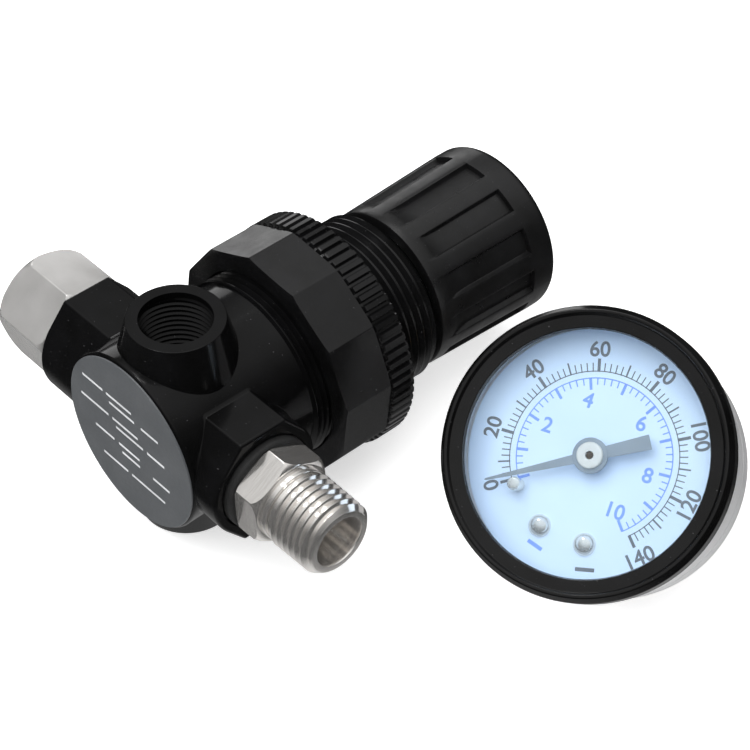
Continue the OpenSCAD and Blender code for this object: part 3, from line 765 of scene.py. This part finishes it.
def build_gauge_shell():
    """The bezel, the case with its seam and the window."""
    bezel = turned("bezel", [(BEZEL_R, BEZEL_BACK, 0.25), (BEZEL_R, -1.2, 0.5), (BEZEL_R - 0.75, 0, 0.25),
                             (BEZEL_R - 1.25, -0.05, 0.15), (BEZEL_R - 1.6, -0.5, 0.15),
                             (WINDOW_R + 0.2, -0.62, 0.15), (WINDOW_R, LENS_FRONT),
                             (CASE_R + 0.05, LENS_FRONT), (CASE_R + 0.05, BEZEL_BACK)], GAUGE, ring=True)
    piece(bezel, "gauge_bezel_ring", "gauge", bezel_black, ["gauge_bezel"])
    seam = -18.5
    case = turned("case", [(CASE_R, CASE_RIM), (CASE_R, seam + 0.3, 0.15), (CASE_R - 0.25, seam + 0.15),
                           (CASE_R - 0.25, seam - 0.15), (CASE_R, seam - 0.3, 0.15),
                           (CASE_R, -CASE_DEPTH + 0.8, 0.3), (CASE_R - 0.8, -CASE_DEPTH, 0.3),
                           (7.4, -CASE_DEPTH, 0.2), (7.4, -CASE_DEPTH + 1.2), (CASE_R - 1, -CASE_DEPTH + 1.2),
                           (CASE_R - 1, DIAL_Z - 1.4), (18.4, DIAL_Z - 1.4), (18.4, DIAL_Z - 0.4),
                           (CASE_R - 1, DIAL_Z - 0.4), (CASE_R - 1, CASE_RIM)], GAUGE, ring=True)
    piece(case, "gauge_case_shell", "gauge", case_silver, ["gauge_case"])
    lens = turned("lens", [(0, LENS_BACK), (CASE_R - 0.05, LENS_BACK, 0.2), (CASE_R - 0.05, LENS_FRONT, 0.2),
                           (0, LENS_FRONT)], GAUGE)
    piece(lens, "gauge_window", "gauge", lens_clear, ["gauge_lens"])


def build_socket():
    """The stem behind the gauge: wrench flats, then a tapered pipe thread."""
    stem = mounts["gauge_stem"]
    length = stem["dims"]["length_mm"]
    crest = stem["dims"]["r_mm"]
    middle = (Vector(stem["pos_m"]) / MM - gauge_front).length
    start, end = middle - length / 2, middle + length / 2 + 0.8
    back = GAUGE @ Matrix.Rotation(math.pi, 4, "X")
    flats = domed_polygon(4, math.radians(45), 7, 2.17, (CASE_DEPTH, 8.9, 0.01), (start - 0.1, 8.4, 0.6), back)
    block = domed_polygon(4, math.radians(45), 4, 0.2, (13.6, 5.4, 0.01), (20.8, 5.4, 0.01), back)
    foot = extruded("foot", [(1, -2.5), (14.8, -2.5), (14.8, 2.5), (1, 2.5)], 17.72, 20.7,
                    back @ Matrix.Rotation(math.radians(-TUBE_FOOT), 4, "Z"))
    joined(flats, turned("core", [(0, 20.2), (7.3, 20.2), (7.3, CASE_DEPTH + 0.4), (5.6, CASE_DEPTH + 0.4),
                                  (5.6, end - 0.2), (5.4, end), (0, end)], back),
           thread(crest, crest - PIPE_THREAD_DEPTH - 0.1, PIPE_PITCH, start - 0.2, end - 0.1, back, taper=0.1,
                  bevel=0.9, run_in=0.8), block, foot)
    cut(flats, turned("bore", [(0, end - 6), (1.5, end - 6), (1.5, end + 1), (0, end + 1)],
                      back @ Matrix.Rotation(OFF_PHASE / 2, 4, "Z")))
    piece(flats, "gauge_stem_and_flats", "gauge", brass, ["gauge_socket"])


build_gauge_shell()
build_socket()


def outer_angle(value):
    """Angle of a value on the outer scale, whose first marks are squeezed together at its zero."""
    return min(ZERO, 182 - 1.9035 * (value - 20))


def inner_angle(value):
    """Angle of a value on the inner scale."""
    return min(ZERO, 192.2 - 26.86 * (value - 1))


def radial(angle, r0, r1, half_w):
    """A straight mark from radius r0 to r1 at that angle on the dial."""
    a = math.radians(angle)
    along, side = Vector((math.cos(a), math.sin(a))), Vector((-math.sin(a), math.cos(a)))
    return [tuple(along * r + side * w) for r, w in ((r0, -half_w), (r1, -half_w), (r1, half_w), (r0, half_w))]


def arc(r0, r1, start, sweep, steps=96):
    """A band round the dial, as quads."""
    quads = []
    for i in range(steps):
        a, b = (math.radians(start - sweep * (i + e) / steps) for e in (0, 1))
        quads.append([(r * math.cos(t), r * math.sin(t)) for r, t in ((r0, a), (r1, a), (r1, b), (r0, b))])
    return quads


def numerals(name, entries, height, material):
    """Numbers on the dial, each (text, radius, angle, size, how far it is turned)."""
    whole = bmesh.new()
    for text, r, angle, size, lean in entries:
        curve = bpy.data.curves.new("numeral", "FONT")
        curve.body = text
        curve.size = size
        curve.align_x = "CENTER"
        curve.align_y = "CENTER"
        curve.bevel_depth = NUMERAL_WEIGHT
        curve.resolution_u = 6
        temporary = added("numeral", curve)
        mesh = bpy.data.meshes.new_from_object(
            temporary.evaluated_get(bpy.context.evaluated_depsgraph_get()))
        spot = Matrix.Translation(around(math.radians(angle), r, height))
        flat = Matrix.Scale(0.1, 4, (0, 0, 1))
        mesh.transform(GAUGE @ spot @ Matrix.Rotation(math.radians(lean), 4, "Z") @ flat)
        whole.from_mesh(mesh)
        bpy.data.objects.remove(temporary)
    mesh = bpy.data.meshes.new(name)
    whole.to_mesh(mesh)
    whole.free()
    piece(added(name, mesh), name, "gauge", material)


def build_dial():
    """The dial plate with both scales, their numbers, and a plain dash in place of each unit's name."""
    plate = turned("dial", [(1.5, DIAL_Z - 0.4), (DIAL_R, DIAL_Z - 0.4), (DIAL_R, DIAL_Z, 0.05), (1.5, DIAL_Z)],
                   GAUGE, ring=True)
    piece(plate, "dial_plate", "gauge", dial_white, ["gauge_dial"])
    ink_z = DIAL_Z + 0.015
    outer = arc(13.12, 13.28, ZERO, ZERO - outer_angle(140))
    outer.append(radial(ZERO, 13.1, 15.1, 0.22))
    for value in range(6, 141, 2):
        angle = outer_angle(value)
        if value % 20 == 0:
            outer.append(radial(angle, 13.1, 15.15, 0.24))
        elif value % 10 == 0:
            outer.append(radial(angle, 13.1, 15.05, 0.13))
        else:
            outer.append(radial(angle, 13.1, 14.5, 0.09))
    outer.append(radial(284.5, 16.9, 17.5, 1.5))
    flat_ink("outer_scale", outer, GAUGE, ink_z, "gauge", ink_grey)
    inner = arc(12.06, 12.24, ZERO, ZERO - inner_angle(10))
    inner.append(radial(ZERO, 10.35, 12.2, 0.22))
    for fifth in range(2, 51):
        angle = inner_angle(fifth / 5)
        inner.append(radial(angle, 10.35, 12.2, 0.22) if fifth % 5 == 0 else radial(angle, 11.1, 12.2, 0.1))
    inner.append(radial(254.7, 15.9, 16.5, 1.3))
    flat_ink("inner_scale", inner, GAUGE, ink_z, "gauge", ink_blue)
    # The outer numbers stand round the dial, the last two with their tops inwards; the inner ones are upright
    tops = {v: outer_angle(v) + (90 if v >= 120 else -90) for v in range(0, 141, 20)}
    numerals("outer_numerals", [(str(v), 16.5 if v < 140 else 17, outer_angle(v), 3.3, lean)
                                for v, lean in tops.items()], ink_z, ink_grey)
    numerals("inner_numerals", [("2", 8.8, 165, 3.3, 0), ("4", 8.7, 115, 3.3, 0), ("6", 8.8, 53, 3.3, 0),
                                ("8", 8.8, -1, 3.3, 0), ("10", 8.9, -50, 3.3, 0)], ink_z, ink_blue)


build_dial()


def build_pointer():
    """The pointer with its disc, and the hub cap on it."""
    low, thickness = -5, 0.35
    place = GAUGE @ Matrix.Rotation(math.radians(211), 4, "Z")
    blade = extruded("pointer", [(0, -0.8), (16.6, -0.16), (16.9, 0), (16.6, 0.16), (0, 0.8), (-9.4, 1.15),
                                 (-9.4, -1.15)], low, low + thickness, place)
    joined(blade, turned("boss", [(0, low - 0.05), (2.75, low - 0.05), (2.75, low + thickness + 0.05, 0.1),
                                  (0, low + thickness + 0.05)], place))
    cut(blade, bore(1.25, low - 1, low + 1, place))
    piece(blade, "pointer_blade", "pointer", pointer_grey, ["gauge_pointer"])
    hub = turned("hub", [(0.62, low - 0.2), (1.23, low - 0.2), (1.23, low + thickness + 0.05),
                         (2.05, low + thickness + 0.05), (2.05, low + 0.95, 0.3), (0.62, low + 0.95, 0.1)],
                 place, ring=True)
    piece(hub, "pointer_hub_cap", "pointer", hub_cream, ["pointer_hub"])


def build_dial_fasteners():
    """The zero stop and the two domed screws."""
    pin_at = GAUGE @ Matrix.Rotation(math.radians(218.3), 4, "Z") @ Matrix.Translation((12.55, 0, DIAL_Z))
    pin = turned("pin", [(0, -0.2), (1.05, -0.2), (1.05, 3.2, 0.4), (0, 3.2)], pin_at, count=48)
    piece(pin, "zero_stop_pin", "gauge", bright_steel, ["stop_pin"])
    screws = None
    for angle in (250.2, 282.9):
        at = GAUGE @ Matrix.Rotation(math.radians(angle), 4, "Z") @ Matrix.Translation((13.4, 0, DIAL_Z))
        dome = [(1.78 * math.cos(math.pi / 2 * s / 8), 1.1 * math.sin(math.pi / 2 * s / 8)) for s in range(9)]
        head = turned("screw", [(0, -0.3), (0.7, -0.3), (0.7, 0), (1.78, 0)] + dome, at, count=48)
        screws = joined(screws, head) if screws else head
    piece(screws, "dial_screw_heads", "gauge", bright_steel, ["dial_screws"])


build_pointer()
build_dial_fasteners()


# ---- CAD nodes that stay as they are get a finished material ----

KEPT = {
    "valve_seat": brass, "seat_o_ring": rubber, "valve_spring": spring_wire, "diaphragm": rubber,
    "main_spring": spring_wire, "inlet_stem": nickel_nipple, "swivel_seal": rubber,
    "adjusting_screw": plug_steel, "knob_screw": plug_steel, "spring_nut": brass,
    "diaphragm_plate": plate_aluminium, "valve_poppet": brass, "poppet_seal": rubber, "lens_gasket": rubber,
    "bourdon_tube": brass, "movement_plates": brass, "hairspring": spring_wire,
    "sector_gear": brass, "tip_link": bright_steel, "pinion_arbor": arbor_brown,
}
for node, finish in KEPT.items():
    mesh = frame["nodes"][node].data
    mesh.materials.clear()
    mesh.materials.append(finish)


# ---- Camera, lights and floor ----

def pose_of(point, azimuth, elevation, distance, roll=0):
    """A matrix that looks at point from that direction, as a camera or a lamp does."""
    a, e = math.radians(azimuth), math.radians(elevation)
    back = Vector((math.cos(e) * math.cos(a), math.cos(e) * math.sin(a), math.sin(e)))
    right = Vector((-math.sin(a), math.cos(a), 0))
    matrix = placed(point + distance * back, right, back.cross(right), back)
    return matrix @ Matrix.Rotation(math.radians(roll), 4, "Z")


AIM = Vector((0.0169, 0.0364, 0.0035))
camera_data = bpy.data.cameras.new("camera")
camera_data.sensor_width = 36
camera_data.lens = 115.2
camera_data.clip_start = 0.01
camera = added("camera", camera_data)
camera.matrix_world = pose_of(AIM, -42.49, 43.585, 0.38176, roll=0.43)
bpy.context.scene.camera = camera


def softbox(name, azimuth, elevation, distance, width, height, power, mirrored):
    """A rectangular lamp. mirrored says whether it shows in reflections."""
    data = bpy.data.lights.new(name, "AREA")
    data.shape = "RECTANGLE"
    data.size = width
    data.size_y = height
    data.energy = power
    lamp = added(name, data)
    lamp.visible_glossy = mirrored
    lamp.matrix_world = pose_of(AIM, azimuth, elevation, distance)


softbox("key", -75, 62, 0.8, 0.7, 0.7, 6, False)
softbox("side_fill", -150, 30, 0.8, 0.5, 0.5, 2, False)
softbox("back_panel", 150, 10, 0.8, 0.35, 0.35, 0.6, True)
softbox("sheen", 150, 66, 0.8, 0.3, 0.2, 0.5, True)
softbox("sparkle", -146, 68, 0.7, 0.09, 0.09, 0.4, True)

floor_z = min(corner[2] for corner in cad_box)
floor_half = 3
floor_mesh = bpy.data.meshes.new("floor")
floor_mesh.from_pydata([(x * floor_half, y * floor_half, floor_z) for x, y in
                        ((-1, -1), (1, -1), (1, 1), (-1, 1))], [], [(0, 1, 2, 3)])
floor = added("floor", floor_mesh)
floor_pale = moulded("floor_pale", (0.86, 0.86, 0.86), (0.88, 0.88, 0.88), 0.6, 0.0, 40)
floor_shader = floor_pale.node_tree.nodes["Principled BSDF"]
floor_shader.inputs["Emission Color"].default_value = (1, 1, 1, 1)
floor_shader.inputs["Emission Strength"].default_value = 0.6
floor_mesh.materials.append(floor_pale)
floor.visible_glossy = False

# The studio's brightness by height, from straight down to straight up: bright overhead, dark at the sides
SKY = [(-1, 0.7), (-0.85, 0.35), (-0.68, 0.03), (0.2, 0.03), (0.5, 0.2), (0.8, 0.75), (1, 0.95)]
world = bpy.data.worlds.new("studio")
world.use_nodes = True
background = world.node_tree.nodes["Background"]
direction = add(world, "ShaderNodeTexCoord")
split = add(world, "ShaderNodeSeparateXYZ")
height = add(world, "ShaderNodeMapRange", From_Min=-1)
sky = add(world, "ShaderNodeValToRGB")
for up, level in SKY[1:-1]:
    sky.color_ramp.elements.new((up + 1) / 2)
for element, (up, level) in zip(sky.color_ramp.elements, SKY):
    element.color = (level, level, level, 1)
wire(world, direction.outputs["Generated"], split.inputs["Vector"])
wire(world, split.outputs["Z"], height.inputs["Value"])
wire(world, height.outputs["Result"], sky.inputs["Fac"])
wire(world, sky.outputs["Color"], background.inputs["Color"])
bpy.context.scene.world = world
bpy.context.scene.view_settings.view_transform = "Standard"
